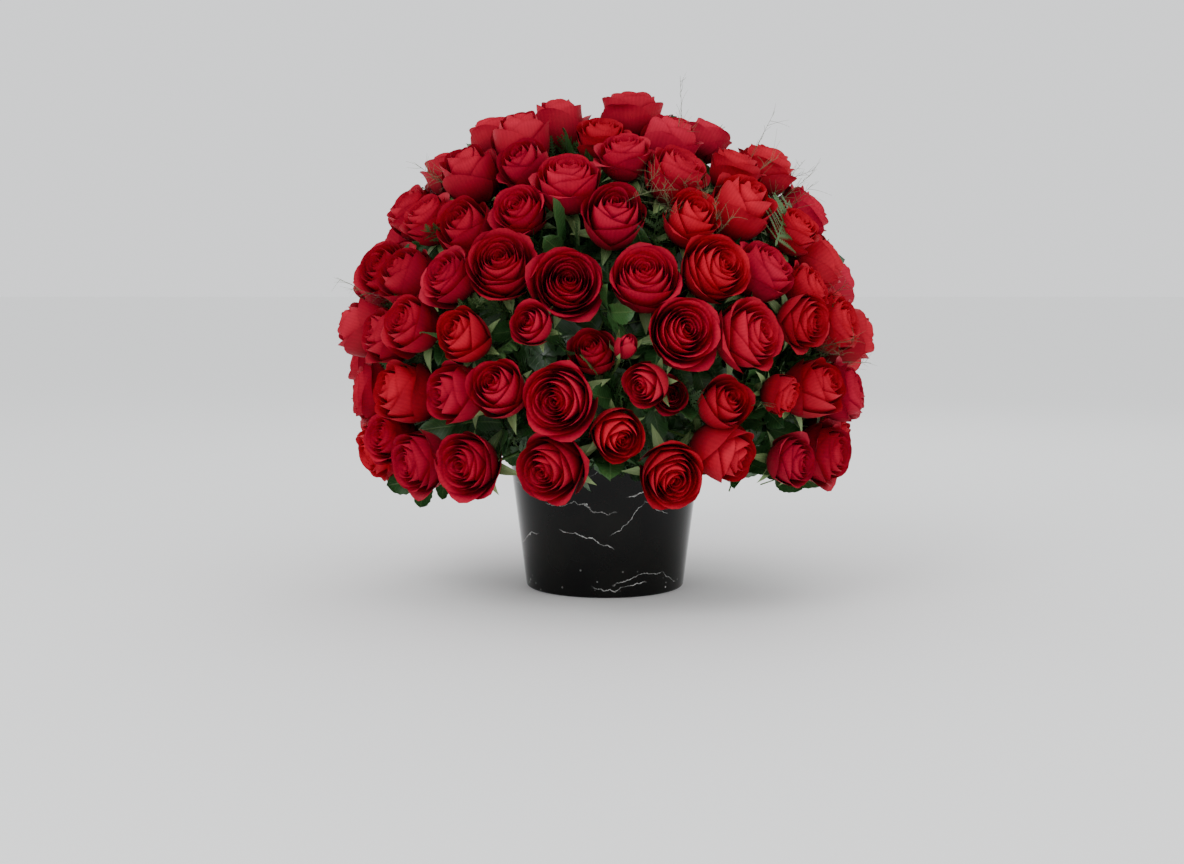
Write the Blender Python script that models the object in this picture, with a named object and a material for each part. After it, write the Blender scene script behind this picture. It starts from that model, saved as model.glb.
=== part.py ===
"""Domed arrangement of red roses and fern, standing in a tapered black stone pot.

Frame: +Z is up, the origin is the middle of the pot's flat base, and the front faces -Y.
All lengths are in metres. Azimuth 0 is the front, and grows towards +X. Elevation is the
angle above the level plane through the middle of the dome.

The pot is the fixed piece. A plastic liner hangs by its flange on the pot's rim and holds a
block of floral foam. Every stem stands in its own socket in the foam, so the liner, the foam
and all the flowers and leaves lift out of the pot as one insert.
"""

import math

import bmesh
import bpy
from mathutils import Vector

MM = 0.001
GAP = 0.3 * MM

POT_HEIGHT = 150 * MM
POT_BASE_RADIUS = 79 * MM
POT_RIM_RADIUS = 98 * MM
POT_WALL = 6 * MM
POT_FLOOR = 10 * MM
POT_EDGE = 3 * MM
# the middle of the foot's eased edge, in from the wall and up, as shares of POT_EDGE
FOOT_EASE = (0.30, 0.35)
POT_SIDES = 48

LINER_WALL = 1.5 * MM
LINER_FLANGE = 97 * MM
LINER_BOTTOM = 50 * MM
LINER_SIDES = 40
LINER_PLAY = 1.2 * MM

FOAM_TOP = 222 * MM
FOAM_SHOULDER = 178 * MM
FOAM_RADIUS = 82 * MM
FOAM_TAPER_TOP = 128 * MM
# the foam's crown: shares of its radius, and of its rise from the shoulder to the top
FOAM_CROWN = ((0.90, 0.48), (0.65, 0.80))
FOAM_SIDES = 32
FOAM_PLAY = 0.5 * MM

DOME_CENTRE = Vector((0.0, 0.0, 227 * MM))
DOME_RADIUS = 257 * MM
FACING_CENTRE = Vector((0.0, 0.0, 172 * MM))

STEM_RADIUS = 2.2 * MM
BRANCH_RADIUS = 1.7 * MM
SPRAY_STEM_SIDES = 5
SOCKET_RADIUS = 3.0 * MM
SOCKET_SIDES = 6
SOCKET_EXTRA = 1.5 * MM
SOCKET_OVERSHOOT = 12 * MM
STEM_START = 44 * MM
STEM_EXIT = 96 * MM
LOWEST_SOCKET_SLOPE = -0.04
# height on the axis (mm) from which the sockets fan out, for a bloom's elevation
SOCKET_FOCUS = ((-30, 163), (-15, 166), (0, 176), (30, 173), (60, 163), (90, 150))
HUB_RADIUS = 7.5 * MM
HUB_SHARES = (0.35, 0.45, 0.55, 0.65, 0.75)
HUB_SPREAD = math.radians(27)

BLOOM_SPACE = 1.06
BLOOM_GAP = 1.5 * MM
RELAX_STEPS = 220
RELAX_SHARE = 0.5
LOWEST_ELEVATION = -25.0

# bloom radius, sides of the bloom, sides of its stem, and whether its petals are open
KINDS = {
    "large": (31 * MM, 10, 5, True),
    "medium": (25 * MM, 8, 4, True),
    "small": (18.5 * MM, 8, 4, False),
    "bud": (11 * MM, 6, 3, False),
}

# along the facing direction and out from it, both in bloom radii
OPEN_PROFILE = ((-1.05, 0.70), (-0.20, 1.0), (-0.30, 0.64), (0.0, 0.42))
CLOSED_PROFILE = ((-1.25, 0.72), (-0.35, 1.0), (0.0, 0.60))
NECK_DEPTH = 1.5
PETAL_DIP = 0.90
PETAL_DROP = 0.10

# colours
POT_BLACK = (0.012, 0.012, 0.014)
LINER_GREEN = (0.03, 0.09, 0.05)
FOAM_GREEN = (0.05, 0.22, 0.08)
ROSE_RED = (0.42, 0.006, 0.02)
LEAF_GREEN = (0.03, 0.12, 0.03)

LETTERS = {"L": "large", "M": "medium", "S": "small", "B": "bud"}
SET_IN = {"large": 0, "medium": 2, "small": 5, "bud": 1}

# the front in bands of two rows, one above the other: the elevation of each row, the azimuth of
# the first column and the step between columns; then a letter for the kind of each bloom in the
# lower row and in the upper row, which stands half a step further on; then the stems: columns
# with the same letter share one stem, and in a column with a dot each bloom has its own
FRONT_BANDS = (
    (-17, -4, -80, 16, "LMLLLMLLMLL", "LLLMLSMSLL-", "..aa..bb..."),
    (9, 22, -80, 16, "LMLMSBLLMLL", "LLMLLLLLML-", "aa..bb..cc."),
    (35, 49, -80, 20, "LMLMLMLML", "MLMLMLML-", "aa.bb.cc."),
    (63, 77, -72, 36, "MLMLM", "L-L--", "aa.bb"),
)
# how far a bloom may stand off its row, in degrees and mm, and the turn of that wave per bloom
WANDER_AZIMUTH = (4.5, 2.4)
WANDER_ELEVATION = (3.5, 1.7)
WANDER_SET_IN = (3.0, 3.1)

# the rows of branched stems round the back: the first one's azimuth, the step and how many,
# then the blooms of each, as azimuth from its middle, elevation, set in by (mm) and kind
BACK_ROWS = (
    (
        (108, 36, 5),
        ((-9, -15, 2, "large"), (8, -18, 6, "large"), (-8, 2, 0, "large"), (10, 0, 0, "large")),
    ),
    (
        (111, 46, 4),
        (
            (-15, 18, 0, "large"),
            (3, 16, 2, "large"),
            (-12, 35, 0, "large"),
            (11, 33, 0, "large"),
            (21, 21, 5, "medium"),
        ),
    ),
    (
        (120, 60, 3),
        ((-15, 51, 0, "large"), (15, 50, 2, "large"), (0, 68, 0, "large")),
    ),
)

# blades of fern and leaf between the blooms: name, azimuth, elevation, set in, length, width (mm)
FOLIAGE = (
    ("fern_1", 12, 33, 12, 60, 13),
    ("fern_2", 90, 46, 4, 62, 13),
    ("fern_3", -88, -6, 2, 62, 13),
    ("leaf_1", -38, 7, 14, 52, 22),
    ("leaf_2", 1, -20, 20, 46, 20),
)
BLADE_THICKNESS = 1.6 * MM
BLADE_SPACE = 9 * MM
BLADE_SIDES = 4
# how far along a blade, how wide it is there, and how thick a fully drawn-in end is for its width
BLADE_SHAPE = ((0.35, 1.0), (0.70, 0.75))
BLADE_NECK = 0.6
BLADE_TIP = (0.12, 0.5)


def clear_scene():
    """Take away every object of the start-up scene."""
    for item in list(bpy.data.objects):
        bpy.data.objects.remove(item, do_unlink=True)


def material(name, colour, roughness):
    """A plain Principled material."""
    made = bpy.data.materials.new(name)
    made.use_nodes = True
    shader = made.node_tree.nodes["Principled BSDF"]
    shader.inputs["Base Color"].default_value = (*colour, 1.0)
    shader.inputs["Roughness"].default_value = roughness
    shader.inputs["Metallic"].default_value = 0.0
    return made


def to_object(name, bm, colour, roughness, smooth=False):
    """Turn a bmesh into a named object with its own material."""
    bmesh.ops.recalc_face_normals(bm, faces=bm.faces[:])
    for face in bm.faces:
        face.smooth = smooth
    mesh = bpy.data.meshes.new(name)
    bm.to_mesh(mesh)
    bm.free()
    mesh.materials.append(material(name, colour, roughness))
    made = bpy.data.objects.new(name, mesh)
    bpy.context.scene.collection.objects.link(made)
    return made


def spun(profile, sides):
    """A body of revolution about Z from a profile of (radius, height) that starts and ends on Z."""
    bm = bmesh.new()
    corners = [bm.verts.new((radius, 0.0, height)) for radius, height in profile]
    edges = [bm.edges.new(pair) for pair in zip(corners, corners[1:])]
    bmesh.ops.spin(
        bm,
        geom=corners + edges,
        axis=(0.0, 0.0, 1.0),
        cent=(0.0, 0.0, 0.0),
        steps=sides,
        angle=math.tau,
        use_merge=True,
    )
    bmesh.ops.remove_doubles(bm, verts=bm.verts[:], dist=0.01 * MM)
    return bm


def pot_outer(height):
    """Outer radius of the pot's wall at a height."""
    return POT_BASE_RADIUS + (POT_RIM_RADIUS - POT_BASE_RADIUS) * height / POT_HEIGHT


def pot_inner(height):
    """Inner radius of the pot's wall at a height."""
    return pot_outer(height) - POT_WALL


def build_pot():
    """The tapered pot, hollow above its floor, with eased edges at foot and rim."""
    half = POT_EDGE / 2
    profile = (
        (0.0, 0.0),
        (POT_BASE_RADIUS - POT_EDGE, 0.0),
        (pot_outer(0.0) - POT_EDGE * FOOT_EASE[0], POT_EDGE * FOOT_EASE[1]),
        (pot_outer(POT_EDGE), POT_EDGE),
        (pot_outer(POT_HEIGHT - half), POT_HEIGHT - half),
        (POT_RIM_RADIUS - half, POT_HEIGHT),
        (pot_inner(POT_HEIGHT) + half, POT_HEIGHT),
        (pot_inner(POT_HEIGHT - half), POT_HEIGHT - half),
        (pot_inner(POT_FLOOR + POT_EDGE), POT_FLOOR + POT_EDGE),
        (pot_inner(POT_FLOOR) - POT_EDGE, POT_FLOOR),
        (0.0, POT_FLOOR),
    )
    return to_object("pot", spun(profile, POT_SIDES), POT_BLACK, 0.08, smooth=True)


def liner_outer(height):
    """Outer radius of the liner's wall at a height."""
    return pot_inner(height) - LINER_PLAY


def build_liner():
    """The plastic cup that hangs by its flange on the pot's rim."""
    flange_low = POT_HEIGHT + GAP
    flange_top = flange_low + LINER_WALL
    floor_top = LINER_BOTTOM + LINER_WALL
    profile = (
        (0.0, LINER_BOTTOM),
        (liner_outer(LINER_BOTTOM), LINER_BOTTOM),
        (liner_outer(flange_low), flange_low),
        (LINER_FLANGE, flange_low),
        (LINER_FLANGE, flange_top),
        (liner_outer(flange_top) - LINER_WALL, flange_top),
        (liner_outer(floor_top) - LINER_WALL, floor_top),
        (0.0, floor_top),
    )
    return to_object("liner", spun(profile, LINER_SIDES), LINER_GREEN, 0.45, smooth=True)


def foam_edge(height):
    """Radius of the foam's side inside the liner at a height."""
    return min(FOAM_RADIUS, liner_outer(height) - LINER_WALL - FOAM_PLAY)


def build_foam(sockets):
    """The block of floral foam: a tapered foot in the liner and a low dome, with stem sockets."""
    foot = LINER_BOTTOM + LINER_WALL + GAP
    rise = FOAM_TOP - FOAM_SHOULDER
    profile = [(0.0, foot), (foam_edge(foot), foot)]
    profile += [(FOAM_RADIUS, FOAM_TAPER_TOP), (FOAM_RADIUS, FOAM_SHOULDER)]
    profile += [(FOAM_RADIUS * wide, FOAM_SHOULDER + rise * up) for wide, up in FOAM_CROWN]
    profile.append((0.0, FOAM_TOP))
    foam = to_object("foam", spun(profile, FOAM_SIDES), FOAM_GREEN, 0.95)
    cutter = build_socket_cutter(sockets)
    cut = foam.modifiers.new("stem_sockets", "BOOLEAN")
    cut.operation = "DIFFERENCE"
    cut.solver = "EXACT"
    cut.use_self = True
    cut.object = cutter
    return foam


def build_socket_cutter(sockets):
    """One prism for each stem, from below its foot out past the foam's surface."""
    bm = bmesh.new()
    for inner, outer in sockets:
        along = (outer - inner).normalized()
        side = along.orthogonal().normalized()
        low = ring(bm, inner - along * SOCKET_EXTRA, along, side, SOCKET_RADIUS, SOCKET_SIDES)
        high = ring(bm, outer + along * SOCKET_OVERSHOOT, along, side, SOCKET_RADIUS, SOCKET_SIDES)
        bm.faces.new(low)
        bm.faces.new(high)
        join(bm, low, high)
    cutter = to_object("socket_cutter", bm, (0.5, 0.5, 0.5), 0.9)
    cutter.hide_render = True
    cutter.display_type = "WIRE"
    return cutter


def ring(bm, centre, along, side, radius, sides, flatten=1.0, dip=1.0, drop=0.0):
    """A ring of corners square to a direction; every second corner may dip in and drop back."""
    across = along.cross(side).normalized()
    corners = []
    for index in range(sides):
        turn = math.tau * index / sides
        reach = radius * (dip if index % 2 else 1.0)
        back = drop if index % 2 else 0.0
        spot = centre - along * back
        spot += side * (reach * math.cos(turn))
        spot += across * (reach * flatten * math.sin(turn))
        corners.append(bm.verts.new(spot))
    return corners


def join(bm, low, high):
    """Faces between two rings: of the same count, or the second with twice as many corners."""
    count = len(low)
    if len(high) == count:
        for index in range(count):
            after = (index + 1) % count
            bm.faces.new((low[index], low[after], high[after], high[index]))
        return
    for index in range(count):
        after = (index + 1) % count
        first = high[2 * index]
        second = high[2 * index + 1]
        third = high[(2 * index + 2) % (2 * count)]
        bm.faces.new((low[index], second, first))
        bm.faces.new((low[index], low[after], second))
        bm.faces.new((low[after], third, second))


def carried(side, along):
    """The side direction carried on to a new direction, so that rings don't twist."""
    return (side - along * side.dot(along)).normalized()


def outward(azimuth, elevation):
    """Unit vector for an azimuth and an elevation in degrees."""
    turn = math.radians(azimuth)
    rise = math.radians(elevation)
    return Vector(
        (math.sin(turn) * math.cos(rise), -math.cos(turn) * math.cos(rise), math.sin(rise))
    )


def new_bloom(azimuth, elevation, set_in, kind):
    """A bloom's place on the dome before the blooms are spaced out."""
    return {
        "way": outward(azimuth, elevation),
        "reach": DOME_RADIUS - set_in * MM,
        "kind": kind,
        "space": KINDS[kind][0] * BLOOM_SPACE,
    }


def wandering(index, azimuth, elevation, kind):
    """A bloom a little off its row, in or out, as flowers set by hand are."""
    azimuth += WANDER_AZIMUTH[0] * math.sin(WANDER_AZIMUTH[1] * index)
    elevation += WANDER_ELEVATION[0] * math.cos(WANDER_ELEVATION[1] * index)
    set_in = SET_IN[kind] + WANDER_SET_IN[0] * math.sin(WANDER_SET_IN[1] * index)
    return azimuth, elevation, set_in, kind


def front_stems():
    """The single roses and the branched stems of the front, as lists of blooms."""
    roses = []
    sprays = []
    index = 0
    for low, high, first, step, low_row, high_row, stems in FRONT_BANDS:
        shared = {}
        for column, stem in enumerate(stems):
            for elevation, row, shift in ((low, low_row, 0.0), (high, high_row, 0.5)):
                if row[column] == "-":
                    continue
                index += 1
                azimuth = first + step * (column + shift)
                bloom = wandering(index, azimuth, elevation, LETTERS[row[column]])
                if stem == ".":
                    roses.append([bloom])
                else:
                    shared.setdefault(stem, []).append(bloom)
        sprays.extend(shared.values())
    return roses, sprays


def planting_plan():
    """Every stem of the arrangement: its name and the blooms or blade it carries."""
    roses, sprays = front_stems()
    for (first, step, count), blooms in BACK_ROWS:
        for index in range(count):
            middle = first + step * index
            sprays.append([(middle + off, up, deep, kind) for off, up, deep, kind in blooms])
    plants = []
    for label, groups in (("rose", roses), ("spray", sprays)):
        for index, blooms in enumerate(groups, 1):
            plants.append(("%s_%02d" % (label, index), [new_bloom(*bloom) for bloom in blooms]))
    for name, azimuth, elevation, set_in, length, width in FOLIAGE:
        blade = {
            "way": outward(azimuth, elevation),
            "reach": DOME_RADIUS - set_in * MM,
            "kind": "blade",
            "space": BLADE_SPACE,
            "length": length * MM,
            "width": width * MM,
        }
        plants.append((name, [blade]))
    return plants


def place(bloom):
    """Where a bloom's face is."""
    return DOME_CENTRE + bloom["way"] * bloom["reach"]


def space_out(plants):
    """Slide the blooms over the dome until none crowds another."""
    blooms = [bloom for _, group in plants for bloom in group]
    lowest = math.sin(math.radians(LOWEST_ELEVATION))
    for _ in range(RELAX_STEPS):
        spots = [place(bloom) for bloom in blooms]
        moves = [Vector((0.0, 0.0, 0.0)) for _ in blooms]
        for one in range(len(blooms)):
            for two in range(one + 1, len(blooms)):
                apart = spots[two] - spots[one]
                need = blooms[one]["space"] + blooms[two]["space"] + BLOOM_GAP
                distance = apart.length
                if distance < need:
                    push = apart * ((need - distance) / (2.0 * distance))
                    moves[one] -= push
                    moves[two] += push
        for bloom, spot, move in zip(blooms, spots, moves):
            way = (spot + move * RELAX_SHARE - DOME_CENTRE).normalized()
            if way.z < lowest:
                level = math.sqrt(1.0 - lowest * lowest) / math.hypot(way.x, way.y)
                way = Vector((way.x * level, way.y * level, lowest))
            bloom["way"] = way


def focus_height(elevation):
    """Height on the axis from which a stem's socket starts, for a bloom's elevation."""
    for (low, low_height), (high, high_height) in zip(SOCKET_FOCUS, SOCKET_FOCUS[1:]):
        if elevation <= high:
            share = (elevation - low) / (high - low)
            return (low_height + (high_height - low_height) * share) * MM
    return SOCKET_FOCUS[-1][1] * MM


def socket(target):
    """Inner end, outer end and direction of the socket of a stem that goes to a target."""
    way = target - DOME_CENTRE
    elevation = math.degrees(math.asin(way.z / way.length))
    focus = Vector((0.0, 0.0, focus_height(elevation)))
    along = (target - focus).normalized()
    if along.z < LOWEST_SOCKET_SLOPE:
        level = math.hypot(along.x, along.y)
        along = Vector((along.x / level, along.y / level, LOWEST_SOCKET_SLOPE)).normalized()
    return focus + along * STEM_START, focus + along * STEM_EXIT, along


def add_bloom(bm, low, side, bloom):
    """Carry a neck ring on into the bloom's cup of petals and its flat heart."""
    radius, sides, _, is_open = KINDS[bloom["kind"]]
    face = bloom["spot"]
    along = bloom["facing"]
    profile = OPEN_PROFILE if is_open else CLOSED_PROFILE
    for step, (depth, reach) in enumerate(profile):
        rim = step == 1 and is_open
        high = ring(
            bm,
            face + along * (depth * radius),
            along,
            side,
            reach * radius,
            sides,
            dip=PETAL_DIP if rim else 1.0,
            drop=PETAL_DROP * radius if rim else 0.0,
        )
        join(bm, low, high)
        low = high
    bm.faces.new(low)


def neck(bloom):
    """Where a bloom's cup meets its stem."""
    return bloom["spot"] - bloom["facing"] * (NECK_DEPTH * KINDS[bloom["kind"]][0])


def bend(start, start_way, end, end_way, share):
    """A point on a smooth bend between two directed ends."""
    pull = (end - start).length / 3.0
    one = start + start_way * pull
    two = end - end_way * pull
    rest = 1.0 - share
    return (
        start * rest**3 + one * (3 * rest**2 * share) + two * (3 * rest * share**2) + end * share**3
    )


def build_rose(name, bloom, sockets):
    """A rose with one stem: a straight foot in its socket, a bend, and the bloom."""
    sides = KINDS[bloom["kind"]][2]
    end = neck(bloom)
    inner, outer, along = socket(end)
    sockets.append((inner, outer))
    bm = bmesh.new()
    side = along.orthogonal().normalized()
    low = ring(bm, inner, along, side, STEM_RADIUS, sides)
    bm.faces.new(low)
    middle = bend(outer, along, end, bloom["facing"], 0.5)
    stops = (
        (outer, along),
        (middle, (along + bloom["facing"]).normalized()),
        (end, bloom["facing"]),
    )
    for centre, way in stops:
        side = carried(side, way)
        high = ring(bm, centre, way, side, STEM_RADIUS, sides)
        join(bm, low, high)
        low = high
    add_bloom(bm, low, side, bloom)
    return to_object(name, bm, ROSE_RED, 0.6)


def divide(outer, centre, ends):
    """The node of a branched stem, far enough from its blooms to keep the branches apart."""
    for share in HUB_SHARES:
        hub = outer.lerp(centre, share)
        ways = [(end - hub).normalized() for end in ends]
        pairs = [one.angle(two) for index, one in enumerate(ways) for two in ways[index + 1 :]]
        if min(pairs) >= HUB_SPREAD:
            break
    return hub, ways


def build_spray(name, blooms, sockets):
    """A branched stem: one foot in the foam, a rounded node, and a branch to every bloom."""
    ends = [neck(bloom) for bloom in blooms]
    centre = sum(ends, Vector((0.0, 0.0, 0.0))) / len(ends)
    inner, outer, along = socket(centre)
    sockets.append((inner, outer))
    hub, ways = divide(outer, centre, ends)
    foot_way = (outer - hub).normalized()
    bm = bmesh.new()
    side = foot_way.orthogonal().normalized()
    foot = hub_ring(bm, hub, foot_way, side, STEM_RADIUS, SPRAY_STEM_SIDES)
    rings = []
    for bloom, way in zip(blooms, ways):
        branch_side = way.orthogonal().normalized()
        sides = KINDS[bloom["kind"]][2]
        rings.append((hub_ring(bm, hub, way, branch_side, BRANCH_RADIUS, sides), branch_side))
    close_hub(bm, [foot] + [corners for corners, _ in rings])
    low = foot
    for spot in (outer, inner):
        way = -along
        side = carried(side, way)
        high = ring(bm, spot, way, side, STEM_RADIUS, SPRAY_STEM_SIDES)
        join(bm, low, high)
        low = high
    bm.faces.new(low)
    for bloom, end, (low, branch_side) in zip(blooms, ends, rings):
        branch_side = carried(branch_side, bloom["facing"])
        high = ring(bm, end, bloom["facing"], branch_side, BRANCH_RADIUS, len(low))
        join(bm, low, high)
        add_bloom(bm, high, branch_side, bloom)
    return to_object(name, bm, ROSE_RED, 0.6)


def hub_ring(bm, hub, way, side, radius, sides):
    """A ring of corners on the ball round a node, where a branch leaves it."""
    depth = math.sqrt(HUB_RADIUS**2 - radius**2)
    return ring(bm, hub + way * depth, way, side, radius, sides)


def close_hub(bm, rings):
    """The skin of a node between the rings of its branches."""
    owner = {}
    for index, corners in enumerate(rings):
        for corner in corners:
            owner[corner] = index
    bmesh.ops.convex_hull(bm, input=list(owner))
    lids = [face for face in bm.faces if len({owner[corner] for corner in face.verts}) == 1]
    bmesh.ops.delete(bm, geom=lids, context="FACES")


def build_blade(name, blade, sockets):
    """A thin blade of fern or leaf on its own stem."""
    tip = blade["spot"]
    facing = blade["facing"]
    end = tip - facing * blade["length"]
    inner, outer, along = socket(end)
    sockets.append((inner, outer))
    bm = bmesh.new()
    side = carried(Vector((0.0, 0.0, 1.0)), along)
    low = ring(bm, inner, along, side, STEM_RADIUS, BLADE_SIDES)
    bm.faces.new(low)
    width = blade["width"] / 2
    thin = BLADE_THICKNESS / 2 / width
    stops = [(outer, along, STEM_RADIUS, 1.0), (end, facing, BRANCH_RADIUS, BLADE_NECK)]
    for share, wide in BLADE_SHAPE:
        stops.append((end + facing * (blade["length"] * share), facing, width * wide, thin))
    stops.append((tip, facing, width * BLADE_TIP[0], BLADE_TIP[1]))
    for centre, way, radius, flatten in stops:
        side = carried(side, way)
        high = ring(bm, centre, way, side, radius, BLADE_SIDES, flatten=flatten)
        join(bm, low, high)
        low = high
    bm.faces.new(low)
    return to_object(name, bm, LEAF_GREEN, 0.55)


def build_all():
    """The whole arrangement."""
    clear_scene()
    build_pot()
    build_liner()
    plants = planting_plan()
    space_out(plants)
    sockets = []
    for name, blooms in plants:
        for bloom in blooms:
            bloom["spot"] = place(bloom)
            bloom["facing"] = (bloom["spot"] - FACING_CENTRE).normalized()
        if blooms[0]["kind"] == "blade":
            build_blade(name, blooms[0], sockets)
        elif len(blooms) == 1:
            build_rose(name, blooms[0], sockets)
        else:
            build_spray(name, blooms, sockets)
    build_foam(sockets)


build_all()
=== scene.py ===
"""Visual model of a dome of red roses in a black marble pot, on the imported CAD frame."""

import math

import bpy
import numpy as np
from mathutils import Matrix, Vector


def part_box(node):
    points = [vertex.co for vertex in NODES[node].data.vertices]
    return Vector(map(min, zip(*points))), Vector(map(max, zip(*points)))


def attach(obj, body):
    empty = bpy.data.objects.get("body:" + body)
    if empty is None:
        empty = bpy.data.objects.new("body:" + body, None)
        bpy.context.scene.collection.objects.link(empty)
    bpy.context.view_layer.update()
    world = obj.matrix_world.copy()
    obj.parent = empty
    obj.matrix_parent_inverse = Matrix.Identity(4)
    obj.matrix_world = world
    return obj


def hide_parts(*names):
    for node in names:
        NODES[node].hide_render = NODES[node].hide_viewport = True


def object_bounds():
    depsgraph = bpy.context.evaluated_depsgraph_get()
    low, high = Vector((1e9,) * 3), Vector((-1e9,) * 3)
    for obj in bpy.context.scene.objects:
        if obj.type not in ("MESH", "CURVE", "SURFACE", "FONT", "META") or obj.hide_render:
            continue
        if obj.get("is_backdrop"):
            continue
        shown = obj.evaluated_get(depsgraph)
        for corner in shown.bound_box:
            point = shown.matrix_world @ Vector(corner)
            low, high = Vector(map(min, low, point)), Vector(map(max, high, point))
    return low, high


MM = 0.001
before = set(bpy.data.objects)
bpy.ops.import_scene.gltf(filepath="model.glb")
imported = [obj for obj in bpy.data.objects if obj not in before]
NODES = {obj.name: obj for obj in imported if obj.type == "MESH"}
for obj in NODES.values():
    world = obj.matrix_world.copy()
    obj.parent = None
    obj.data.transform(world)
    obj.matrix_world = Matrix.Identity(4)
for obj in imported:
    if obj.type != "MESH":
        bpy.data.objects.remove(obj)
cad_low, cad_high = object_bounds()
INSERT = "insert"
POT_BODY = "pot_body"
POT_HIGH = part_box("pot")[1]
FOAM_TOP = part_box("foam")[1][2]
# the point that the roses look out from, and the middle of the dome
HEART = Vector((0.0, 0.0, FOAM_TOP - 50 * MM))
DOME = Vector((0.0, 0.0, FOAM_TOP + 5 * MM))
SOCKET_DEPTH = 46 * MM

# a CAD rose's flat heart: how level it is, and its least and greatest radius
LEVEL = 0.99995
SMALLEST_HEART = 5 * MM
LARGEST_HEART = 14 * MM
# kind of bloom, least radius of its heart and full radius of its cup
KINDS = (
    ("large", 12.2 * MM, 31 * MM),
    ("small", 10.8 * MM, 18.5 * MM),
    ("medium", 8.5 * MM, 25 * MM),
    ("bud", 0.0, 11 * MM),
)


# ---------------------------------------------------------------- shader helpers
def new_material(name):
    """A node material with its Principled shader."""
    made = bpy.data.materials.new(name)
    made.use_nodes = True
    return made, made.node_tree, made.node_tree.nodes["Principled BSDF"]


def calc(tree, how, one, two=None, three=None):
    """A math node on up to three values or sockets."""
    made = tree.nodes.new("ShaderNodeMath")
    made.operation = how
    for index, value in enumerate((one, two, three)):
        if value is None:
            continue
        if isinstance(value, (int, float)):
            made.inputs[index].default_value = value
        else:
            tree.links.new(value, made.inputs[index])
    return made.outputs[0]


def ramp(tree, value, *stops):
    """A colour ramp over a value, from (place, colour) stops."""
    made = tree.nodes.new("ShaderNodeValToRGB")
    band = made.color_ramp
    while len(band.elements) < len(stops):
        band.elements.new(0.5)
    for element, (place, colour) in zip(band.elements, stops):
        element.position = place
        element.color = (*colour, 1.0)
    tree.links.new(value, made.inputs["Fac"])
    return made.outputs["Color"]


def mix(tree, share, one, two, how="MIX"):
    """Two colours mixed by a share."""
    made = tree.nodes.new("ShaderNodeMix")
    made.data_type = "RGBA"
    made.blend_type = how
    for socket, value in ((made.inputs[0], share), (made.inputs[6], one), (made.inputs[7], two)):
        if isinstance(value, (int, float)):
            socket.default_value = value
        elif isinstance(value, tuple):
            socket.default_value = (*value, 1.0)
        else:
            tree.links.new(value, socket)
    return made.outputs[2]


def noise(tree, place, scale, detail=3.0, rough=0.5):
    """Noise value at a place."""
    made = tree.nodes.new("ShaderNodeTexNoise")
    made.inputs["Scale"].default_value = scale
    made.inputs["Detail"].default_value = detail
    made.inputs["Roughness"].default_value = rough
    tree.links.new(place, made.inputs["Vector"])
    return made.outputs["Fac"]


def bump(tree, shader, height, strength, distance):
    """A bump on the shader from a height."""
    made = tree.nodes.new("ShaderNodeBump")
    made.inputs["Strength"].default_value = strength
    made.inputs["Distance"].default_value = distance
    tree.links.new(height, made.inputs["Height"])
    tree.links.new(made.outputs["Normal"], shader.inputs["Normal"])


def object_place(tree):
    """Object coordinates."""
    return tree.nodes.new("ShaderNodeTexCoord").outputs["Object"]


def uv_parts(tree, name):
    """The two parts of a named UV map."""
    uv = tree.nodes.new("ShaderNodeUVMap")
    uv.uv_map = name
    parts = tree.nodes.new("ShaderNodeSeparateXYZ")
    tree.links.new(uv.outputs["UV"], parts.inputs[0])
    return parts.outputs[0], parts.outputs[1]


# ---------------------------------------------------------------- materials
def petal_material(name, painted_foot_shade, bright, painted_lip_highlight):
    """Velvety rose petal: painted shade darkens its foot, fine veins run along it, a painted
    highlight lightens a thin band at its lip, mottled.
    """
    made, tree, shader = new_material(name)
    across, along = uv_parts(tree, "petal")
    layer, chance = uv_parts(tree, "layer")
    # colour along the petal: painted shade darkens its foot, and a painted highlight lightens a thin
    # band just short of its lip
    body = ramp(tree, along, (0.0, painted_foot_shade), (0.30, painted_foot_shade), (0.70, bright), (0.93, painted_lip_highlight), (1.0, bright))
    place = object_place(tree)
    patch = calc(tree, "MULTIPLY_ADD", noise(tree, place, 45.0, 3.0, 0.6), 0.50, 0.75)
    veins = calc(tree, "SINE", calc(tree, "MULTIPLY", across, 52.0))
    veins = calc(tree, "MULTIPLY_ADD", veins, 0.045, 1.0)
    chosen = calc(tree, "MULTIPLY_ADD", chance, 0.28, 0.86)
    outside = calc(tree, "MULTIPLY_ADD", calc(tree, "POWER", layer, 3.0), -0.30, 1.08)
    shade = calc(tree, "MULTIPLY", calc(tree, "MULTIPLY", patch, veins), chosen)
    shade = calc(tree, "MULTIPLY", shade, outside)
    grey = tree.nodes.new("ShaderNodeCombineXYZ")
    for socket in grey.inputs:
        tree.links.new(shade, socket)
    colour = mix(tree, 1.0, body, grey.outputs[0], "MULTIPLY")
    tree.links.new(colour, shader.inputs["Base Color"])
    rough = calc(tree, "MULTIPLY_ADD", noise(tree, place, 160.0, 2.0), 0.20, 0.48)
    tree.links.new(rough, shader.inputs["Roughness"])
    shader.inputs["Specular IOR Level"].default_value = 0.09
    shader.inputs["Sheen Weight"].default_value = 0.04
    shader.inputs["Sheen Roughness"].default_value = 0.45
    shader.inputs["Sheen Tint"].default_value = (1.0, 0.12, 0.18, 1.0)
    height = calc(tree, "MULTIPLY_ADD", veins, 3.0, noise(tree, place, 420.0, 2.0))
    bump(tree, shader, height, 0.25, 0.0006)
    return made


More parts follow.
